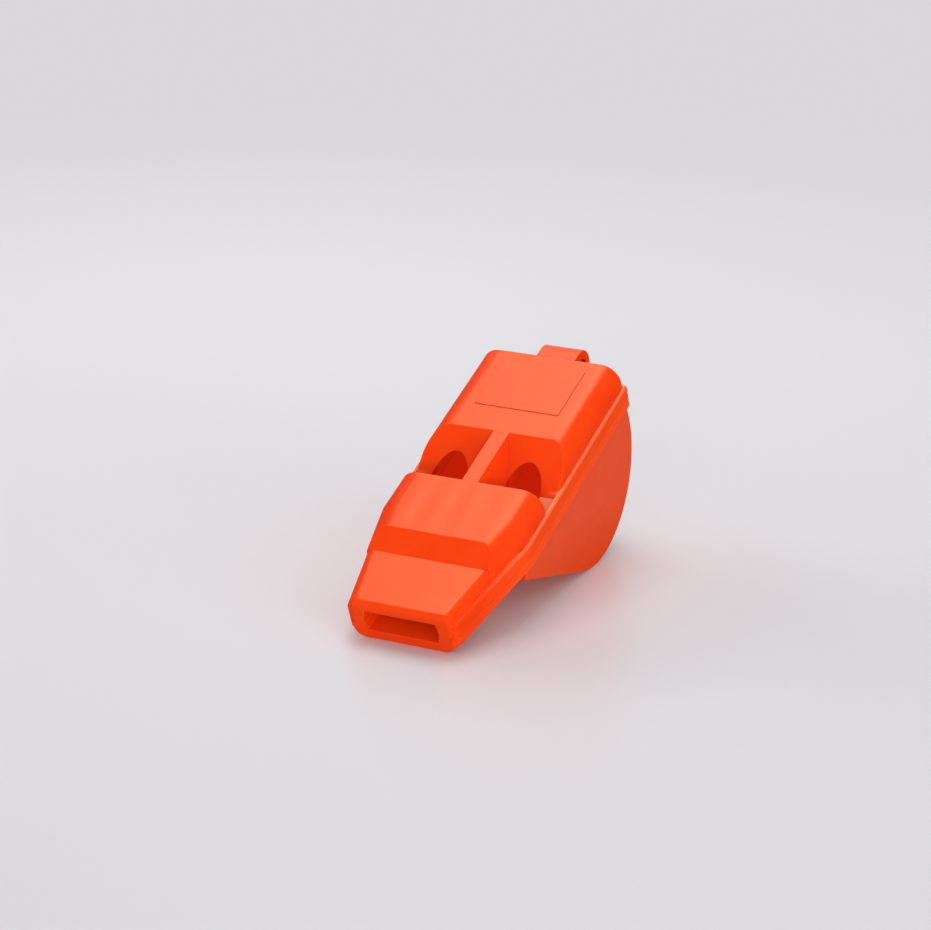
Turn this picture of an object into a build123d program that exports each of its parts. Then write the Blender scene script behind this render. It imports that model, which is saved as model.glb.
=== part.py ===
"""Pealess sports whistle: two plastic mouldings joined along a seam rail.

Drawn level, with the seam in the XY plane, the mouth at y = 0 and the rear
towards +Y. At the end both mouldings are tipped about X so that the whistle
lies as it does on a table, on its lower lip and the bottom of its drum.
Sizes are in millimetres.
"""
import os
from math import asin, atan2, cos, degrees, hypot, radians, sin, sqrt, tan

from build123d import *

os.makedirs("parts", exist_ok=True)

# Seam rail, the flange where the two mouldings are welded
body_len = 52.3          # lips to the rear of the rail
rail_half = 11.1         # half width along the body
rail_half_mouth = 7.85   # half width at the lips
taper_end = 17.3         # the sides widen from the lips to here
taper_blend = 5.0        # radius in plan where the taper ends
rail_up = 2.2            # height above the seam
rail_down = 1.55         # depth below the seam
rail_front = 0.2         # the lips stand out of the rail by this
rail_rear_corner = 0.4   # corner radius in plan, rear
rail_lip_corner = 0.9    # corner radius in plan, at the lips
rail_edge = 0.35         # rounding of the rail's upper edge
rail_low_edge = 0.38     # rounding of the rail's lower edge
seam_groove = 0.05       # bevel on each side of the seam line
ledge = 0.52             # the rail stands out of the upper walls by this
belly_ledge = 0.4        # the rail stands out of the belly's sides by this

# Upper moulding, outside
top_z = 5.75             # flat top above the seam
top_round = 2.9          # long top edges of the body
rear_round = 0.25        # edges of the rear end
lip_top_front = 3.6      # top of the mouthpiece at the lips
lip_top_rear = 4.0       # top of the mouthpiece at the step
step_low = 9.5           # foot of the sloped step
step_high = 12.8         # head of the sloped step
mouth_root = 1.0         # the mouthpiece runs on into the body by this
lip_side_round = 1.25    # long top edges of the mouthpiece
crisp_edge = 0.25        # edges of the step and of the sloped window wall
lip_front_round = 0.8    # front edges of the upper lip
plate_wide = 12.7        # bare name plate on the top
plate_gap = 4.9          # window to the plate
plate_back = 2.8         # plate to the rear of the rail
plate_high = 0.11
plate_corner = 0.3
plate_root = 0.2         # the plate is sunk into the top by this

# Lower moulding, outside
lip_low = 2.6            # underside of the mouthpiece below the seam
lip_low_round = 1.7      # long lower edges of the mouthpiece
lip_low_edge = 0.3       # front edges of the lower lip
drum_r = 12.9            # round belly
drum_back = 12.9         # drum's axis to the rear of the rail
drum_z = -4.65
belly_front = 15.6       # where the belly leaves the mouthpiece
belly_edge = 0.25        # rounding of the belly's side edges

# Window and the two sound bores
window_front = 23.85     # rear face of the windway block
window_floor = 1.78      # floor of the window, a little below the ledge
ramp_top = 34.65         # top edge of the sloped window wall
ramp_angle = 28.25       # degrees from the seam plane
rib_half = 1.15          # half width of the rib's top
rib_draft = 25.6         # degrees each flank leans out
bore_x = 5.49
bore_z = 1.08
bore_r = 2.88
bore_back = 3.3          # closed end of each bore to the rear of the rail

# Windway, inside
slot_half = 5.12         # half width of the mouth slot at its top and bottom
slot_belly = 0.3         # the slot is wider by this at mid height
slot_top = 2.2
slot_low = -1.05
slot_deep = 7.4
slot_flare = 0.1         # the channels start wider than the slot by this
air_start = 6.9          # the two channels begin here
air_wide = 8.3           # outer side of each channel at the window
air_widest_at = 18.0
air_roof = 3.6           # roof of the channels at the window
air_roof_from = 14.0
air_floor_from = 20.0    # the floor is level with the ledge from here on
tongue_gap = 0.1         # clearance around each floor tongue
tongue_root = 1.6        # the tongues stand this far down in the lower moulding
wall = 1.5
septum_half = 0.6        # half thickness of the wall between the chambers

# Lanyard eye
eye_back = 2.65          # middle of the eye behind the rail
eye_z = 1.55
eye_outer_r = 2.75
eye_r = 1.5
eye_half = 3.05          # half width of the lug
eye_edge = 0.2
lug_gap = 0.15           # clearance between the lug and the lower rail
lug_root = 1.0           # the lug is sunk into the rear wall by this

spare = 2.0              # cutting shapes run on past the walls by this

# Lines worked out from the sizes above
taper = (rail_half - rail_half_mouth) / taper_end
wall_half = rail_half - ledge
wall_half_mouth = rail_half_mouth - ledge
wall_rear = body_len - ledge
belly_half = rail_half - belly_ledge
drum_y = body_len - drum_back
plate_front = ramp_top + plate_gap
plate_long = body_len - plate_back - plate_front
bore_end = body_len - bore_back
eye_y = body_len + eye_back
lip_slope = (lip_top_rear - lip_top_front) / step_low
step_slope = (top_z - lip_top_rear) / (step_high - step_low)
ramp_rise = tan(radians(ramp_angle))
over = top_z + spare
side = rail_half + spare


def outline(half_mouth, half_body, front, rear):
    """Plan of the whistle: tapered from the lips, then parallel."""
    with BuildSketch() as plan:
        with BuildLine():
            Polyline(
                (-half_mouth - taper * front, front),
                (half_mouth + taper * front, front),
                (half_body, taper_end),
                (half_body, rear),
                (-half_body, rear),
                (-half_body, taper_end),
                close=True,
            )
        make_face()
        bends = plan.vertices().filter_by_position(Axis.Y, taper_end - 0.01, taper_end + 0.01)
        fillet(bends, taper_blend)
    return plan.sketch


def mouth_plan(rear):
    """Plan of the mouthpiece walls, from the lips back to the given line."""
    with BuildSketch() as plan:
        with BuildLine():
            Polyline(
                (-wall_half_mouth, 0),
                (wall_half_mouth, 0),
                (wall_half_mouth + taper * rear, rear),
                (-wall_half_mouth - taper * rear, rear),
                close=True,
            )
        make_face()
    return plan.sketch


def channel_plan(inset):
    """Plan of the right-hand air channel, drawn in by a clearance."""
    with BuildSketch() as plan:
        with BuildLine():
            Polyline(
                (rib_half + inset, air_start + inset),
                (slot_half + slot_flare - inset, air_start + inset),
                (air_wide - inset, air_widest_at),
                (air_wide - inset, window_front - inset),
                (rib_half + inset, window_front - inset),
                close=True,
            )
        make_face()
    return plan.sketch


def faces_up_front(face):
    """True for a face that slopes up and back, such as the step."""
    out = face.normal_at()
    return out.Y < -0.3 and out.Z > 0.3


def side_profile(*points):
    """A flat shape in the plane of symmetry, given as (y, z) corners."""
    with BuildSketch(Plane.YZ) as profile:
        with BuildLine():
            Polyline(*points, close=True)
        make_face()
    return profile.sketch


# Raised body of the upper moulding, with its big rounded shoulders
with BuildPart() as body_top:
    extrude(outline(wall_half_mouth, wall_half, 0, wall_rear), amount=top_z)
    fillet(body_top.faces().sort_by(Axis.Z)[-1].edges().filter_by(Axis.X, reverse=True), top_round)
    rear_edges = body_top.faces().sort_by(Axis.Y)[-1].edges()
    fillet(rear_edges.filter_by_position(Axis.Z, 0.01, over), rear_round)
    slope_end = step_low + (over - lip_top_rear) / step_slope
    extrude(
        side_profile(
            (-spare, -spare),
            (step_low, -spare),
            (step_low, lip_top_rear),
            (slope_end, over),
            (-spare, over),
        ),
        amount=side,
        both=True,
        mode=Mode.SUBTRACT,
    )
    step = body_top.faces().filter_by(faces_up_front)
    fillet(step.edges().filter_by_position(Axis.Z, lip_top_rear + 0.01, over), crisp_edge)

# Mouthpiece of the upper moulding, a little thinner at the lips
with BuildPart() as mouth_top:
    mouth_rear = step_low + mouth_root
    extrude(mouth_plan(mouth_rear), amount=top_z)
    extrude(
        side_profile(
            (-spare, lip_top_front - lip_slope * spare),
            (mouth_rear + spare, lip_top_front + lip_slope * (mouth_rear + spare)),
            (mouth_rear + spare, over),
            (-spare, over),
        ),
        amount=side,
        both=True,
        mode=Mode.SUBTRACT,
    )
    fillet(mouth_top.faces().sort_by(Axis.Z)[-1].edges().filter_by(Axis.X, reverse=True), lip_side_round)
    lip_edges = mouth_top.faces().sort_by(Axis.Y)[0].edges()
    fillet(lip_edges.filter_by_position(Axis.Z, 0.01, over), lip_front_round)

# Window cut: open to both sides, sloped at the rear, with the rib left standing
with BuildPart() as window_cut:
    ramp_over = ramp_top + (over - top_z) / ramp_rise
    for foot_z, half in ((rail_up, side), (window_floor, wall_half)):
        ramp_foot = (ramp_top - (top_z - foot_z) / ramp_rise, foot_z)
        extrude(
            side_profile((window_front, foot_z), ramp_foot, (ramp_over, over), (window_front, over)),
            amount=half,
            both=True,
        )
    rib_foot = rib_half + (top_z - window_floor) * tan(radians(rib_draft))
    with BuildSketch(Plane.XZ.offset(spare - window_front)) as rib:
        with BuildLine():
            Polyline(
                (-rib_foot, window_floor),
                (rib_foot, window_floor),
                (rib_half, top_z),
                (-rib_half, top_z),
                close=True,
            )
        make_face()
    extrude(amount=-(ramp_over - window_front + 2 * spare), mode=Mode.SUBTRACT)

# Mouth slot, wider at mid height for draft
with BuildPart() as slot_cut:
    slot_mid = (slot_top + slot_low) / 2
    with BuildSketch(Plane.XZ.offset(spare)) as slot:
        with BuildLine():
            Polyline(
                (-slot_half, slot_low),
                (slot_half, slot_low),
                (slot_half + slot_belly, slot_mid),
                (slot_half, slot_top),
                (-slot_half, slot_top),
                (-slot_half - slot_belly, slot_mid),
                close=True,
            )
        make_face()
    extrude(amount=-(slot_deep + spare))

# Air channels in the upper moulding, one on each side of the middle web
with BuildPart() as air_cut:
    extrude(
        side_profile(
            (air_start, -spare),
            (air_start, slot_top),
            (air_roof_from, air_roof),
            (window_front, air_roof),
            (window_front, -spare),
        ),
        amount=side,
    )
    extrude(channel_plan(0), amount=over, both=True, mode=Mode.INTERSECT)
    mirror(about=Plane.YZ)

# Upper moulding
with BuildPart() as cover_shape:
    add(body_top.part)
    add(mouth_top.part)
    with BuildPart(mode=Mode.PRIVATE) as rail_top:
        with BuildSketch() as rail_plan:
            add(outline(rail_half_mouth, rail_half, rail_front, body_len))
            fillet(rail_plan.vertices().group_by(Axis.Y)[-1], rail_rear_corner)
            fillet(rail_plan.vertices().group_by(Axis.Y)[0], rail_lip_corner)
        extrude(amount=rail_up)
        fillet(rail_top.faces().sort_by(Axis.Z)[-1].edges(), rail_edge)
        chamfer(rail_top.faces().sort_by(Axis.Z)[0].edges(), seam_groove)
    add(rail_top.part)
    with BuildPart(mode=Mode.PRIVATE) as lug:
        lug_foot = body_len + lug_gap
        lug_start = wall_rear - lug_root
        lug_high = eye_z + eye_outer_r - lug_gap
        with BuildSketch(Plane.YZ) as lug_side:
            with Locations((eye_y, eye_z)):
                Circle(eye_outer_r)
            with Locations((lug_foot, lug_gap + lug_high / 2)):
                Rectangle(lug_gap, lug_high, align=(Align.MIN, Align.CENTER))
            make_hull()
            with Locations((lug_start, lug_gap + lug_high / 2)):
                Rectangle(lug_foot + lug_gap - lug_start, lug_high, align=(Align.MIN, Align.CENTER))
        extrude(amount=eye_half, both=True)
        fillet(lug.faces().group_by(Axis.X)[0].edges(), eye_edge)
        fillet(lug.faces().group_by(Axis.X)[-1].edges(), eye_edge)
        with BuildSketch(Plane.YZ) as eye:
            with Locations((eye_y, eye_z)):
                Circle(eye_r)
        extrude(amount=eye_half + spare, both=True, mode=Mode.SUBTRACT)
    add(lug.part)
    with BuildSketch(Plane.XY.offset(top_z - plate_root)) as plate:
        with Locations((0, plate_front + plate_long / 2)):
            RectangleRounded(plate_wide, plate_long, plate_corner)
    extrude(amount=plate_high + plate_root)
    add(window_cut.part, mode=Mode.SUBTRACT)
    ramps = cover_shape.faces().filter_by(faces_up_front).filter_by_position(Axis.Y, window_front, ramp_top)
    ramp_edges = ramps.edges().filter_by_position(Axis.Z, rail_up + 0.01, over)
    fillet(ramp_edges.filter_by(lambda edge: abs(edge.center().X) > rib_foot), crisp_edge)
    with BuildSketch(Plane.XZ.offset(-window_front)) as bores:
        with Locations((-bore_x, bore_z), (bore_x, bore_z)):
            Circle(bore_r)
    extrude(amount=-(bore_end - window_front), mode=Mode.SUBTRACT)
    add(slot_cut.part, mode=Mode.SUBTRACT)
    add(air_cut.part, mode=Mode.SUBTRACT)

# Belly of the lower moulding: a drum, with a straight front that runs on to it
reach = hypot(drum_y - belly_front, drum_z + lip_low)
dip = atan2(-lip_low - drum_z, drum_y - belly_front) + asin(drum_r / reach)


def belly_profile(inset, front):
    """Side view of the belly, drawn in by a wall thickness."""
    radius = drum_r - inset
    back = drum_y + sqrt(radius**2 - drum_z**2)
    meet = (drum_y - radius * sin(dip), drum_z - radius * cos(dip))
    start_z = meet[1] + (meet[0] - front) * tan(dip)
    with BuildSketch(Plane.YZ) as profile:
        with BuildLine():
            Polyline((back, 0), (front, 0), (front, start_z), meet)
            low = (drum_y + radius * sin(dip / 2), drum_z - radius * cos(dip / 2))
            ThreePointArc(meet, low, (back, 0))
        make_face()
    return profile.sketch


with BuildPart() as belly:
    extrude(belly_profile(0, belly_front), amount=belly_half, both=True)
    cheeks = belly.faces().filter_by(Axis.X)
    fillet(cheeks.edges().filter_by_position(Axis.Z, drum_z - drum_r - spare, -0.01), belly_edge)

# Chambers inside the belly, left and right of the septum
with BuildPart() as chamber_cut:
    extrude(belly_profile(wall, window_front), amount=belly_half - wall, both=True)
    extrude(belly_profile(0, belly_front), amount=septum_half, both=True, mode=Mode.SUBTRACT)

# Windway floor: two tongues that stand up into the air channels
with BuildPart() as tongues:
    extrude(
        side_profile(
            (air_start, -tongue_root),
            (air_start, slot_low),
            (air_floor_from, rail_up),
            (window_front, rail_up),
            (window_front, -tongue_root),
        ),
        amount=side,
    )
    extrude(channel_plan(tongue_gap), amount=over, both=True, mode=Mode.INTERSECT)
    mirror(about=Plane.YZ)

# Space over the tongues, where the floor dips below the seam
with BuildPart() as floor_cut:
    extrude(
        side_profile((air_start, slot_low), (air_floor_from, rail_up), (air_start, rail_up)),
        amount=side,
    )
    extrude(channel_plan(0), amount=over, both=True, mode=Mode.INTERSECT)
    mirror(about=Plane.YZ)

# Mouthpiece of the lower moulding
with BuildPart() as mouth_low:
    extrude(mouth_plan(belly_front + spare), amount=-lip_low)
    fillet(mouth_low.faces().sort_by(Axis.Z)[0].edges().filter_by(Axis.X, reverse=True), lip_low_round)
    lip_edges = mouth_low.faces().sort_by(Axis.Y)[0].edges()
    fillet(lip_edges.filter_by_position(Axis.Z, -over, -0.01), lip_low_edge)

# Lower moulding
with BuildPart() as base_shape:
    add(belly.part)
    add(mouth_low.part)
    with BuildPart(mode=Mode.PRIVATE) as rail_low:
        with BuildSketch() as rail_low_plan:
            add(outline(rail_half_mouth, rail_half, rail_front, body_len))
            fillet(rail_low_plan.vertices().group_by(Axis.Y)[-1], rail_rear_corner)
            fillet(rail_low_plan.vertices().group_by(Axis.Y)[0], rail_lip_corner)
        extrude(amount=-rail_down)
        fillet(rail_low.faces().sort_by(Axis.Z)[0].edges(), rail_low_edge)
        chamfer(rail_low.faces().sort_by(Axis.Z)[-1].edges(), seam_groove)
    add(rail_low.part)
    add(chamber_cut.part, mode=Mode.SUBTRACT)
    add(slot_cut.part, mode=Mode.SUBTRACT)
    add(floor_cut.part, mode=Mode.SUBTRACT)
    add(tongues.part)

# Tip the whistle on to its lower lip and its drum
lip_y = lip_low_edge
lip_z = lip_low_edge - lip_low
rest_y = drum_y - lip_y
rest_z = drum_z - lip_z
tilt = asin((drum_r - lip_low_edge) / hypot(rest_y, rest_z)) - atan2(rest_z, rest_y)
floor = drum_y * sin(tilt) + drum_z * cos(tilt) - drum_r
middle = cover_shape.part.rotate(Axis.X, degrees(tilt)).bounding_box().center().Y

with BuildPart() as top_cover:
    with Locations((0, -middle, -floor)):
        add(cover_shape.part, rotation=(degrees(tilt), 0, 0))
top_cover.part.label = "top_cover"
export_step(top_cover.part, "parts/top_cover.step")

with BuildPart() as lower_body:
    with Locations((0, -middle, -floor)):
        add(base_shape.part, rotation=(degrees(tilt), 0, 0))
lower_body.part.label = "lower_body"
export_step(lower_body.part, "parts/lower_body.step")
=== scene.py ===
import math

import bpy
import mathutils
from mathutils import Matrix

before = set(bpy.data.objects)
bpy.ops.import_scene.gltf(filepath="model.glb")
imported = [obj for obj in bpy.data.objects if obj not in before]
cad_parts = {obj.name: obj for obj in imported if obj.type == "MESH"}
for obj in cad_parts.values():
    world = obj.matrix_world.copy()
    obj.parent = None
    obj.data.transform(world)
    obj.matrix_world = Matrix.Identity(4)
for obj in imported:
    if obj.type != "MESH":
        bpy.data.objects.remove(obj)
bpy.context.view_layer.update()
print("frame loaded:", ", ".join(sorted(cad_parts)))

mm = 0.001  # lengths below are in millimetres, Blender works in metres


def linear(hexColour):
    # sRGB hex to the linear colour that the shaders take
    parts = [int(hexColour[i:i + 2], 16) / 255 for i in (1, 3, 5)]
    return [p / 12.92 if p <= 0.04045 else ((p + 0.055) / 1.055) ** 2.4 for p in parts] + [1.0]


def addNode(tree, kind, inputs, **settings):
    # one node: its settings, then each input as a value or as a link from another socket
    node = tree.nodes.new(kind)
    for key, value in settings.items():
        setattr(node, key, value)
    for key, value in inputs.items():
        if isinstance(value, bpy.types.NodeSocket):
            tree.links.new(value, node.inputs[key])
        else:
            node.inputs[key].default_value = value
    return node


def emptyMaterial(name):
    material = bpy.data.materials.new(name)
    material.use_nodes = True
    material.node_tree.nodes.clear()
    return material, material.node_tree


# Camera, where the photograph was taken from
camera = {
    "place": (150.928, -322.517, 138.670),   # mm
    "turn": (71.140, -0.518, 25.768),        # degrees
    "lens": 107.184,
    "sensor": 36.0,
    "clip": (10.0, 20000.0),                 # mm
}
cameraData = bpy.data.cameras.new("photoCamera")
cameraData.lens = camera["lens"]
cameraData.sensor_width = camera["sensor"]
cameraData.clip_start, cameraData.clip_end = [v * mm for v in camera["clip"]]
cameraObject = bpy.data.objects.new("photoCamera", cameraData)
cameraObject.location = [v * mm for v in camera["place"]]
cameraObject.rotation_euler = [math.radians(v) for v in camera["turn"]]
bpy.context.scene.collection.objects.link(cameraObject)
bpy.context.scene.camera = cameraObject
print("camera set")


# Floor: one wide sheet of satin card
floorSheet = {
    "half": 3000.0,         # mm
    "colour": "#E0E0E8",
    "roughness": 0.35,
    "ior": 1.45,
    "grain": 0.6,           # mm, paper fibre
    "grainHeight": 0.01,    # mm
    "grainStrength": 0.3,
    "grainDetail": 3.0,
    "far": "#D9D7DA",       # what the camera sees of the floor far away and past it
    "farFrom": 110.0,       # mm from the whistle
    "farTo": 330.0,
}


def satinCard():
    # coated card: pale and even, with a soft low shine that mirrors the whistle as a pink haze
    material, tree = emptyMaterial("satin coated card")
    place = addNode(tree, "ShaderNodeTexCoord", {})
    fibre = addNode(tree, "ShaderNodeTexNoise", {
        "Vector": place.outputs["Object"], "Scale": 1 / (floorSheet["grain"] * mm),
        "Detail": floorSheet["grainDetail"]})
    bump = addNode(tree, "ShaderNodeBump", {
        "Height": fibre.outputs["Fac"], "Distance": floorSheet["grainHeight"] * mm,
        "Strength": floorSheet["grainStrength"]})
    shader = addNode(tree, "ShaderNodeBsdfPrincipled", {
        "Base Color": linear(floorSheet["colour"]), "Roughness": floorSheet["roughness"],
        "IOR": floorSheet["ior"], "Normal": bump.outputs["Normal"]})
    # far from the whistle the camera sees a plain pale tone, because the low lamps light that floor unevenly
    away = addNode(tree, "ShaderNodeVectorMath", {0: place.outputs["Object"]}, operation="LENGTH")
    ray = addNode(tree, "ShaderNodeLightPath", {})
    farOff = addNode(tree, "ShaderNodeMapRange", {
        "Value": away.outputs["Value"], "From Min": floorSheet["farFrom"] * mm,
        "From Max": floorSheet["farTo"] * mm, "To Min": 0.0, "To Max": ray.outputs["Is Camera Ray"]},
        interpolation_type="SMOOTHSTEP")
    pale = addNode(tree, "ShaderNodeEmission", {"Color": linear(floorSheet["far"]), "Strength": 1.0})
    seen = addNode(tree, "ShaderNodeMixShader", {
        0: farOff.outputs["Result"], 1: shader.outputs["BSDF"], 2: pale.outputs["Emission"]})
    addNode(tree, "ShaderNodeOutputMaterial", {"Surface": seen.outputs["Shader"]})
    return material


half = floorSheet["half"] * mm
floorMesh = bpy.data.meshes.new("floorSheet")
corners = [(-half, -half, 0), (half, -half, 0), (half, half, 0), (-half, half, 0)]
floorMesh.from_pydata(corners, [], [(0, 1, 2, 3)])
floorMesh.materials.append(satinCard())
floorObject = bpy.data.objects.new("floorSheet", floorMesh)
floorObject.visible_glossy = False    # the plastic's shine shows the soft box and the room only
bpy.context.scene.collection.objects.link(floorObject)
print("floor laid")


# Studio light: a soft box behind and above, whose shine lies on the top faces,
# and slightly warm fills that don't show in the plastic
softBoxes = {
    "overhead": {"place": (-120, 205, 575), "aim": (-120, 205, 0), "size": (380, 500), "watts": 1.75,
                 "colour": "#FFFFFF", "shine": True},
    "ceiling": {"place": (330, 20, 780), "aim": (0, 0, 0), "size": (900, 900), "watts": 2.3,
                "colour": "#FFF7EC", "shine": False},
    "right": {"place": (530, -230, 60), "aim": (0, 0, 0), "size": (420, 100), "watts": 1.5,
              "colour": "#FFF7EC", "shine": False},
    "left": {"place": (-500, 60, 160), "aim": (0, 0, 0), "size": (420, 260), "watts": 1.2,
             "colour": "#FFF7EC", "shine": False},
    "front": {"place": (150, -570, 80), "aim": (0, 0, 0), "size": (300, 120), "watts": 0.85,
              "colour": "#FFF7EC", "shine": False},
}

for name, box in softBoxes.items():
    lamp = bpy.data.lights.new(name, "AREA")
    lamp.shape = "RECTANGLE"
    lamp.size = box["size"][0] * mm
    lamp.size_y = box["size"][1] * mm
    lamp.energy = box["watts"]
    lamp.color = linear(box["colour"])[:3]
    lampObject = bpy.data.objects.new(name, lamp)
    lampObject.location = [v * mm for v in box["place"]]
    towards = mathutils.Vector(box["aim"]) - mathutils.Vector(box["place"])
    lampObject.rotation_euler = towards.to_track_quat("-Z", "Y").to_euler()
    lampObject.visible_glossy = box["shine"]
    bpy.context.scene.collection.objects.link(lampObject)

# Room: soft fill, strong in front, weak behind and none from above. Reflections show a dark room
# with a pale wall at the back left. Pairs are parts of a direction of length 1
room = {
    "front": 0.8,
    "back": 0.3,
    "top": (0.75, 0.55),          # up, where the room's light begins and is full
    "turn": (-0.2, 0.3),          # towards the rear, from front fill to back fill
    "wallRight": (0.2, -0.1),     # across, where the wall begins and is full
    "wallLeft": (-0.75, -0.5),    # across, where it ends on the left and is full
    "wallRise": (0.1, 0.4),       # up, from the wall's dimmer foot to its full tone
    "wallFoot": 0.55,
    "wallBack": (0.0, 0.4),       # towards the rear, where the wall begins and is full
}
world = bpy.data.worlds.new("paleRoom")
world.use_nodes = True
world.node_tree.nodes.clear()
sky = world.node_tree
facing = addNode(sky, "ShaderNodeTexCoord", {})
axes = addNode(sky, "ShaderNodeSeparateXYZ", {"Vector": facing.outputs["Generated"]})
low = addNode(sky, "ShaderNodeMapRange", {
    "Value": axes.outputs["Z"], "From Min": room["top"][0], "From Max": room["top"][1]})
fill = addNode(sky, "ShaderNodeMapRange", {
    "Value": axes.outputs["Y"], "From Min": room["turn"][0], "From Max": room["turn"][1],
    "To Min": room["front"], "To Max": room["back"]})
wallSide = addNode(sky, "ShaderNodeMapRange", {
    "Value": axes.outputs["X"], "From Min": room["wallRight"][0], "From Max": room["wallRight"][1]})
wallHeight = addNode(sky, "ShaderNodeMapRange", {
    "Value": axes.outputs["Z"], "From Min": room["wallRise"][0], "From Max": room["wallRise"][1],
    "To Min": room["wallFoot"], "To Max": 1.0})
wallLeft = addNode(sky, "ShaderNodeMapRange", {
    "Value": axes.outputs["X"], "From Min": room["wallLeft"][0], "From Max": room["wallLeft"][1],
    "To Min": 0.0, "To Max": wallSide.outputs["Result"]})
wallTone = addNode(sky, "ShaderNodeMath", {0: wallLeft.outputs["Result"], 1: wallHeight.outputs["Result"]},
                   operation="MULTIPLY")
wall = addNode(sky, "ShaderNodeMapRange", {
    "Value": axes.outputs["Y"], "From Min": room["wallBack"][0], "From Max": room["wallBack"][1],
    "To Min": 0.0, "To Max": wallTone.outputs["Value"]})
ray = addNode(sky, "ShaderNodeLightPath", {})
either = addNode(sky, "ShaderNodeMix", {
    0: ray.outputs["Is Glossy Ray"], 2: fill.outputs["Result"], 3: wall.outputs["Result"]})
lit = addNode(sky, "ShaderNodeMath", {0: low.outputs["Result"], 1: either.outputs[0]}, operation="MULTIPLY")
unseen = addNode(sky, "ShaderNodeBackground", {"Color": (1, 1, 1, 1), "Strength": lit.outputs["Value"]})
seen = addNode(sky, "ShaderNodeBackground", {"Color": linear(floorSheet["far"]), "Strength": 1.0})
shown = addNode(sky, "ShaderNodeMixShader", {
    0: ray.outputs["Is Camera Ray"], 1: unseen.outputs["Background"], 2: seen.outputs["Background"]})
addNode(sky, "ShaderNodeOutputWorld", {"Surface": shown.outputs["Shader"]})
bpy.context.scene.world = world
bpy.context.scene.view_settings.view_transform = "Standard"
print("lights set")


# The two mouldings: one orange plastic, shinier on the cover than on the lower body. The tones of the belly,
# rail, recesses and bores follow the photograph, and are laid on by place
moulding = {
    "colour": "#F5430A",
    "flowColour": "#F03E08",       # in the flow marks
    "flowMarks": (0.35, 0.7),      # of the noise, where a mark begins and is full
    "flowDetail": 4.0,
    "flowBend": 0.6,
    "edgeColour": "#FF6A36",       # on sharp edges, a little paler
    "edgeBend": (0.995, 0.90),     # cosine of the bend, where the paling begins and is full
    "bellyShadeAndReflection": "#E6502E",      # high on the belly: painted shade under the rail, with a painted reflection of the table
    "bellyShadeLow": "#CE3E0E",         # on the belly near the table, where the painted shade is deeper
    "bellyFade": (1.0, 9.0),       # mm above the table
    "bellyBlend": 0.4,             # mm under the rail
    "bellyGlow": 0.2,              # stands in for light from the table under the belly
    # the rail is painted lighter, as more light falls on it
    "railLitColour": "#FF4E14",
    "railInside": (8.8, 10.8),     # mm to each side, where the rail's tone begins and is full
    "railUp": 2.2,                 # mm above the seam
    "railPast": 0.05,              # mm that the tone reaches past the rail
    "railEdgeHighlight": "#FF7A50",         # painted highlights along the rail's two rounded edges
    "railEdgeWidth": 0.4,          # mm
    "recessShadeColour": "#D82B0A",     # painted shade in corners and grooves
    "recess": 8.0,                 # mm
    "recessOpen": (0.9, 0.4),      # share of open view, where the deeper tone begins and is full
    "boreShadeColour": "#D41C05",       # painted shade in the two bores
    "boreMiddle": (5.49, 1.08),    # mm to each side and above the seam
    "boreRadius": 2.88,            # mm
    "borePast": (0.03, 0.02),      # mm past the radius, where the tone begins and is full
    "boreTo": 38.0,                # mm behind the lips
    "bellyFrom": 15.6,             # mm behind the lips
    "bellyUnder": -1.55,           # mm above the seam, the rail's lower edge
    "ior": 1.54,
    "sheen": "#FFFFA8",            # warms the shine, as it looks in the photograph
    "edge": 0.07,                  # mm, the tiny radius that a mould leaves on a crisp edge
    "flow": (5.0, 16.0, 5.0),      # mm, flow marks, drawn out from the rear to the lips
    "peel": 0.9,                   # mm, orange peel of the mould
    "peelHeight": 0.003,           # mm
    "peelStrength": 0.5,
    "peelDetail": 2.0,
    "rub": 2.2,                    # mm, patches rubbed by fingers
    "rubDetail": 3.0,
    "scuff": (0.35, 7.0, 0.35),    # mm, fine scuffs along the whistle, drawn wider than real ones to show
    "scuffDetail": 2.0,
    "scuffFrom": (0.6, 0.75),      # of the noise, where a scuff begins and is full
    "scuffShare": 0.5,
    "roughFrom": (0.3, 0.9),       # of rub and scuff together, from the smoothest to the roughest
    "sink": 4.3,                   # mm, faint waves in the top of the windway block
    "sinkDrift": 1.5,              # mm, how far the waves stray
    "sinkHeight": 0.016,           # mm
    "sinkFrom": 12.8,              # mm behind the lips
    "sinkTo": 23.9,
    "sinkBlend": 2.0,              # mm
    "depth": 0.4,                  # mm, how far red light travels in the plastic
    "depthColours": (1.0, 0.2, 0.1),
    "depthShare": 0.5,
    "glow": "#C8380F",             # stands in for red light that soaks through the walls
    "glowStrength": 0.25,
    "seam": (0, -25.955, 2.316),   # mm, where the seam plane meets the lips
    "tilt": 22.203,                # degrees, how the whistle lies
    "drumMiddle": (39.4, -4.65),   # mm behind the lips and above the seam
    "drumInside": 11.4,            # mm
    "drumPast": (0.4, 0.05),       # mm past the inside, where the glow begins and is full
    "hollowHalf": 9.5,             # mm to each side
    "hollowTop": 4.02,             # mm above the seam
    "samples": 8,                  # rays of the edge and recess nodes
}
finishes = {
    "top_cover": {"name": "polished orange ABS", "roughness": (0.30, 0.38), "specular": 0.53},
    "lower_body": {"name": "dull orange ABS", "roughness": (0.48, 0.56), "specular": 0.46},
}


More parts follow.
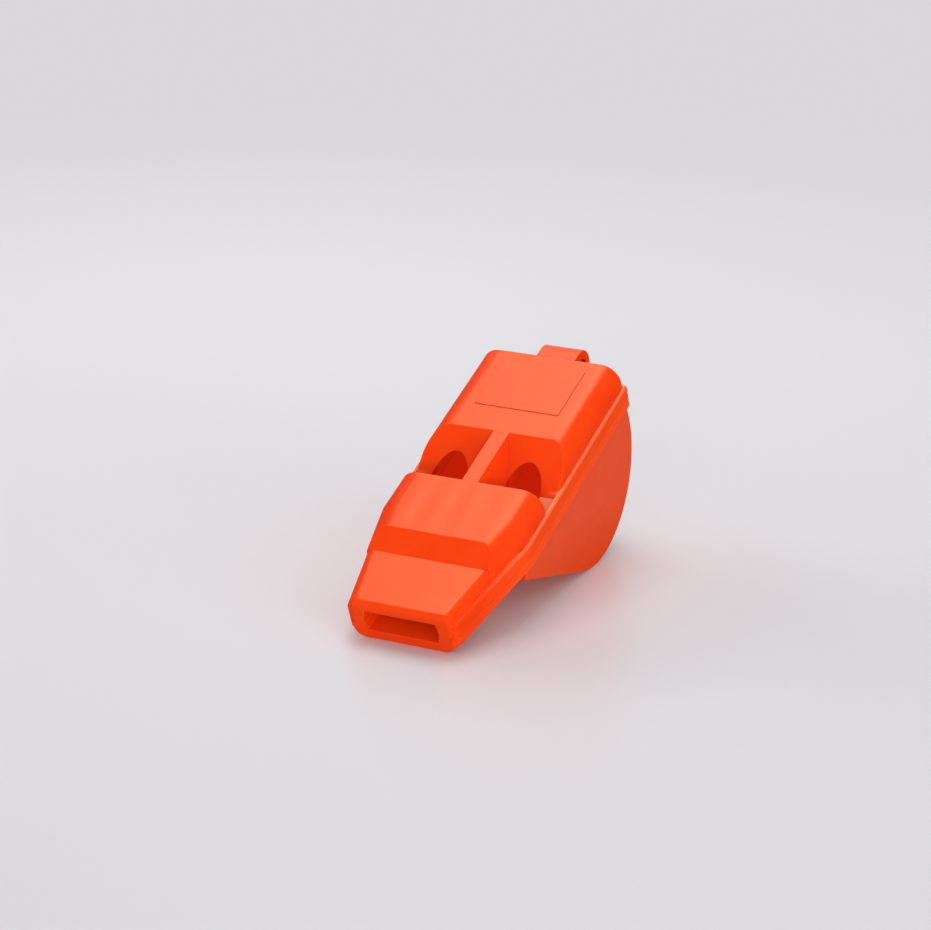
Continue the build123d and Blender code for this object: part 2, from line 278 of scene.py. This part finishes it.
def mouldedAbs(finish):
    # injection-moulded ABS, slightly translucent: bright orange, soft broad highlights, and red in its
    # hollows from painted shade and a painted glow
    material, tree = emptyMaterial(finish["name"])
    place = addNode(tree, "ShaderNodeTexCoord", {})
    level = addNode(tree, "ShaderNodeMapping", {
        "Vector": place.outputs["Object"], "Location": [v * mm for v in moulding["seam"]],
        "Rotation": (math.radians(moulding["tilt"]), 0, 0)}, vector_type="TEXTURE")
    axes = addNode(tree, "ShaderNodeSeparateXYZ", {"Vector": level.outputs["Vector"]})
    aside = addNode(tree, "ShaderNodeMath", {0: axes.outputs["X"]}, operation="ABSOLUTE")

    # colour: faint flow marks, then painted shade and a painted reflection on the belly
    flowSpace = addNode(tree, "ShaderNodeMapping", {
        "Vector": level.outputs["Vector"], "Scale": [1 / (v * mm) for v in moulding["flow"]]})
    flow = addNode(tree, "ShaderNodeTexNoise", {
        "Vector": flowSpace.outputs["Vector"], "Scale": 1.0, "Detail": moulding["flowDetail"],
        "Distortion": moulding["flowBend"]})
    marks = addNode(tree, "ShaderNodeMapRange", {
        "Value": flow.outputs["Fac"], "From Min": moulding["flowMarks"][0],
        "From Max": moulding["flowMarks"][1]})
    plain = addNode(tree, "ShaderNodeMix", {
        0: marks.outputs["Result"], 6: linear(moulding["colour"]), 7: linear(moulding["flowColour"])},
        data_type="RGBA")
    behindLips = addNode(tree, "ShaderNodeMath", {0: axes.outputs["Y"], 1: moulding["bellyFrom"] * mm},
                         operation="GREATER_THAN")
    standing = addNode(tree, "ShaderNodeSeparateXYZ", {"Vector": place.outputs["Object"]})
    lowest, highest = [v * mm for v in moulding["bellyFade"]]
    height = addNode(tree, "ShaderNodeMapRange", {
        "Value": standing.outputs["Z"], "From Min": lowest, "From Max": highest})
    # painted shade on the belly, deeper towards the table, with a painted reflection higher up
    paintedBellyTone = addNode(tree, "ShaderNodeMix", {
        0: height.outputs["Result"], 6: linear(moulding["bellyShadeLow"]), 7: linear(moulding["bellyShadeAndReflection"])},
        data_type="RGBA")
    underRail = addNode(tree, "ShaderNodeMapRange", {
        "Value": axes.outputs["Z"], "From Min": moulding["bellyUnder"] * mm,
        "From Max": (moulding["bellyUnder"] - moulding["bellyBlend"]) * mm, "To Min": 0.0,
        "To Max": behindLips.outputs["Value"]})
    belly = addNode(tree, "ShaderNodeMix", {
        0: underRail.outputs["Result"], 6: plain.outputs[2], 7: paintedBellyTone.outputs[2]}, data_type="RGBA")

    # the rail, painted lighter, with painted highlights along its edges
    outside = addNode(tree, "ShaderNodeMapRange", {
        "Value": aside.outputs["Value"], "From Min": moulding["railInside"][0] * mm,
        "From Max": moulding["railInside"][1] * mm})
    railMiddle = (moulding["railUp"] + moulding["bellyUnder"]) / 2
    railHalf = moulding["railUp"] - railMiddle
    fromMiddle = addNode(tree, "ShaderNodeMath", {0: axes.outputs["Z"], 1: railMiddle * mm},
                         operation="SUBTRACT")
    offMiddle = addNode(tree, "ShaderNodeMath", {0: fromMiddle.outputs["Value"]}, operation="ABSOLUTE")
    besideRail = addNode(tree, "ShaderNodeMath", {
        0: offMiddle.outputs["Value"], 1: (railHalf + moulding["railPast"]) * mm}, operation="LESS_THAN")
    onRail = addNode(tree, "ShaderNodeMath", {0: outside.outputs["Result"], 1: besideRail.outputs["Value"]},
                     operation="MULTIPLY")
    railEdges = addNode(tree, "ShaderNodeMapRange", {
        "Value": offMiddle.outputs["Value"], "From Min": (railHalf - moulding["railEdgeWidth"]) * mm,
        "From Max": railHalf * mm})
    railPaintedLight = addNode(tree, "ShaderNodeMix", {
        0: railEdges.outputs["Result"], 6: linear(moulding["railLitColour"]), 7: linear(moulding["railEdgeHighlight"])},
        data_type="RGBA")
    rail = addNode(tree, "ShaderNodeMix", {
        0: onRail.outputs["Value"], 6: belly.outputs[2], 7: railPaintedLight.outputs[2]}, data_type="RGBA")

    # painted shade: deeper colour in the recesses and in the bores
    corner = addNode(tree, "ShaderNodeAmbientOcclusion", {"Distance": moulding["recess"] * mm},
                     samples=moulding["samples"], only_local=True)
    deep = addNode(tree, "ShaderNodeMapRange", {
        "Value": corner.outputs["AO"], "From Min": moulding["recessOpen"][0],
        "From Max": moulding["recessOpen"][1], "To Min": 0.0, "To Max": behindLips.outputs["Value"]})
    paintedRecessShade = addNode(tree, "ShaderNodeMix", {
        0: deep.outputs["Result"], 6: rail.outputs[2], 7: linear(moulding["recessShadeColour"])},
        data_type="RGBA")
    acrossBore = addNode(tree, "ShaderNodeCombineXYZ", {"X": aside.outputs["Value"], "Z": axes.outputs["Z"]})
    fromBore = addNode(tree, "ShaderNodeVectorMath", {
        0: acrossBore.outputs["Vector"],
        1: (moulding["boreMiddle"][0] * mm, 0, moulding["boreMiddle"][1] * mm)}, operation="DISTANCE")
    beforeEnd = addNode(tree, "ShaderNodeMath", {0: axes.outputs["Y"], 1: moulding["boreTo"] * mm},
                        operation="LESS_THAN")
    alongBore = addNode(tree, "ShaderNodeMath", {
        0: behindLips.outputs["Value"], 1: beforeEnd.outputs["Value"]}, operation="MULTIPLY")
    # painted shade on the walls of the two bores
    bore = addNode(tree, "ShaderNodeMapRange", {
        "Value": fromBore.outputs["Value"],
        "From Min": (moulding["boreRadius"] + moulding["borePast"][0]) * mm,
        "From Max": (moulding["boreRadius"] + moulding["borePast"][1]) * mm,
        "To Min": 0.0, "To Max": alongBore.outputs["Value"]})
    body = addNode(tree, "ShaderNodeMix", {
        0: bore.outputs["Result"], 6: paintedRecessShade.outputs[2], 7: linear(moulding["boreShadeColour"])},
        data_type="RGBA")

    # paler sharp edges, in patches
    edge = addNode(tree, "ShaderNodeBevel", {"Radius": moulding["edge"] * mm}, samples=moulding["samples"])
    face = addNode(tree, "ShaderNodeNewGeometry", {})
    bend = addNode(tree, "ShaderNodeVectorMath", {
        0: edge.outputs["Normal"], 1: face.outputs["Normal"]}, operation="DOT_PRODUCT")
    rubSpace = addNode(tree, "ShaderNodeTexNoise", {
        "Vector": level.outputs["Vector"], "Scale": 1 / (moulding["rub"] * mm),
        "Detail": moulding["rubDetail"]})
    paleEdge = addNode(tree, "ShaderNodeMapRange", {
        "Value": bend.outputs["Value"], "From Min": moulding["edgeBend"][0],
        "From Max": moulding["edgeBend"][1]})
    paleEdgePatches = addNode(tree, "ShaderNodeMath", {0: paleEdge.outputs["Result"], 1: rubSpace.outputs["Fac"]},
                          operation="MULTIPLY")
    coloured = addNode(tree, "ShaderNodeMix", {
        0: paleEdgePatches.outputs["Value"], 6: body.outputs[2], 7: linear(moulding["edgeColour"])},
        data_type="RGBA")

    # roughness: rubbed patches and fine scuffs
    scuffSpace = addNode(tree, "ShaderNodeMapping", {
        "Vector": level.outputs["Vector"], "Scale": [1 / (v * mm) for v in moulding["scuff"]]})
    scuff = addNode(tree, "ShaderNodeTexNoise", {
        "Vector": scuffSpace.outputs["Vector"], "Scale": 1.0, "Detail": moulding["scuffDetail"]})
    scuffs = addNode(tree, "ShaderNodeMapRange", {
        "Value": scuff.outputs["Fac"], "From Min": moulding["scuffFrom"][0],
        "From Max": moulding["scuffFrom"][1], "To Min": 0.0, "To Max": moulding["scuffShare"]})
    rubbed = addNode(tree, "ShaderNodeMath", {0: rubSpace.outputs["Fac"], 1: scuffs.outputs["Result"]},
                     operation="ADD")
    rough = addNode(tree, "ShaderNodeMapRange", {
        "Value": rubbed.outputs["Value"], "From Min": moulding["roughFrom"][0],
        "From Max": moulding["roughFrom"][1],
        "To Min": finish["roughness"][0], "To Max": finish["roughness"][1]})

    # bump: orange peel, and faint waves along the windway block
    peel = addNode(tree, "ShaderNodeTexNoise", {
        "Vector": level.outputs["Vector"], "Scale": 1 / (moulding["peel"] * mm),
        "Detail": moulding["peelDetail"]})
    bump = addNode(tree, "ShaderNodeBump", {
        "Height": peel.outputs["Fac"], "Distance": moulding["peelHeight"] * mm,
        "Strength": moulding["peelStrength"], "Normal": edge.outputs["Normal"]})
    stray = addNode(tree, "ShaderNodeMath", {
        0: flow.outputs["Fac"], 1: moulding["sinkDrift"] * mm, 2: axes.outputs["X"]},
        operation="MULTIPLY_ADD")
    turns = addNode(tree, "ShaderNodeMath", {
        0: stray.outputs["Value"], 1: -2 * math.pi / (moulding["sink"] * mm)}, operation="MULTIPLY")
    waves = addNode(tree, "ShaderNodeMath", {0: turns.outputs["Value"]}, operation="SINE")
    sinkStart = addNode(tree, "ShaderNodeMapRange", {
        "Value": axes.outputs["Y"], "From Min": moulding["sinkFrom"] * mm,
        "From Max": (moulding["sinkFrom"] + moulding["sinkBlend"]) * mm,
        "To Min": 0.0, "To Max": waves.outputs["Value"]})
    sinkEnd = addNode(tree, "ShaderNodeMapRange", {
        "Value": axes.outputs["Y"], "From Min": moulding["sinkTo"] * mm,
        "From Max": (moulding["sinkTo"] - moulding["sinkBlend"]) * mm,
        "To Min": 0.0, "To Max": sinkStart.outputs["Result"]})
    sunk = addNode(tree, "ShaderNodeBump", {
        "Height": sinkEnd.outputs["Result"], "Distance": moulding["sinkHeight"] * mm,
        "Strength": 1.0, "Normal": bump.outputs["Normal"]})

    # a faint glow in the sound chambers and under the belly
    alongDrum = addNode(tree, "ShaderNodeCombineXYZ", {"Y": axes.outputs["Y"], "Z": axes.outputs["Z"]})
    drum = addNode(tree, "ShaderNodeVectorMath", {
        0: alongDrum.outputs["Vector"],
        1: (0, moulding["drumMiddle"][0] * mm, moulding["drumMiddle"][1] * mm)}, operation="DISTANCE")
    within = addNode(tree, "ShaderNodeMapRange", {
        "Value": drum.outputs["Value"],
        "From Min": (moulding["drumInside"] + moulding["drumPast"][0]) * mm,
        "From Max": (moulding["drumInside"] + moulding["drumPast"][1]) * mm})
    between = addNode(tree, "ShaderNodeMath", {0: aside.outputs["Value"], 1: moulding["hollowHalf"] * mm},
                      operation="LESS_THAN")
    under = addNode(tree, "ShaderNodeMath", {0: axes.outputs["Z"], 1: moulding["hollowTop"] * mm},
                    operation="LESS_THAN")
    boxed = addNode(tree, "ShaderNodeMath", {0: between.outputs["Value"], 1: under.outputs["Value"]},
                    operation="MULTIPLY")
    hollow = addNode(tree, "ShaderNodeMath", {0: boxed.outputs["Value"], 1: within.outputs["Result"]},
                     operation="MULTIPLY")
    underneath = addNode(tree, "ShaderNodeMapRange", {
        "Value": standing.outputs["Z"], "From Min": highest, "From Max": lowest, "To Min": 0.0,
        "To Max": underRail.outputs["Result"]})
    belowGlow = addNode(tree, "ShaderNodeMath", {0: underneath.outputs["Result"], 1: moulding["bellyGlow"]},
                        operation="MULTIPLY")
    glow = addNode(tree, "ShaderNodeMath", {
        0: hollow.outputs["Value"], 1: moulding["glowStrength"], 2: belowGlow.outputs["Value"]},
        operation="MULTIPLY_ADD")

    shader = addNode(tree, "ShaderNodeBsdfPrincipled", {
        "Base Color": coloured.outputs[2], "Roughness": rough.outputs["Result"],
        "IOR": moulding["ior"], "Specular IOR Level": finish["specular"],
        "Specular Tint": linear(moulding["sheen"]), "Subsurface Weight": moulding["depthShare"],
        "Subsurface Radius": moulding["depthColours"], "Subsurface Scale": moulding["depth"] * mm,
        "Emission Color": linear(moulding["glow"]), "Emission Strength": glow.outputs["Value"],
        "Normal": sunk.outputs["Normal"]})
    addNode(tree, "ShaderNodeOutputMaterial", {"Surface": shader.outputs["BSDF"]})
    return material


for name, finish in finishes.items():
    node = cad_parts[name]
    node.data.materials.clear()
    node.data.materials.append(mouldedAbs(finish))
print("mouldings finished")
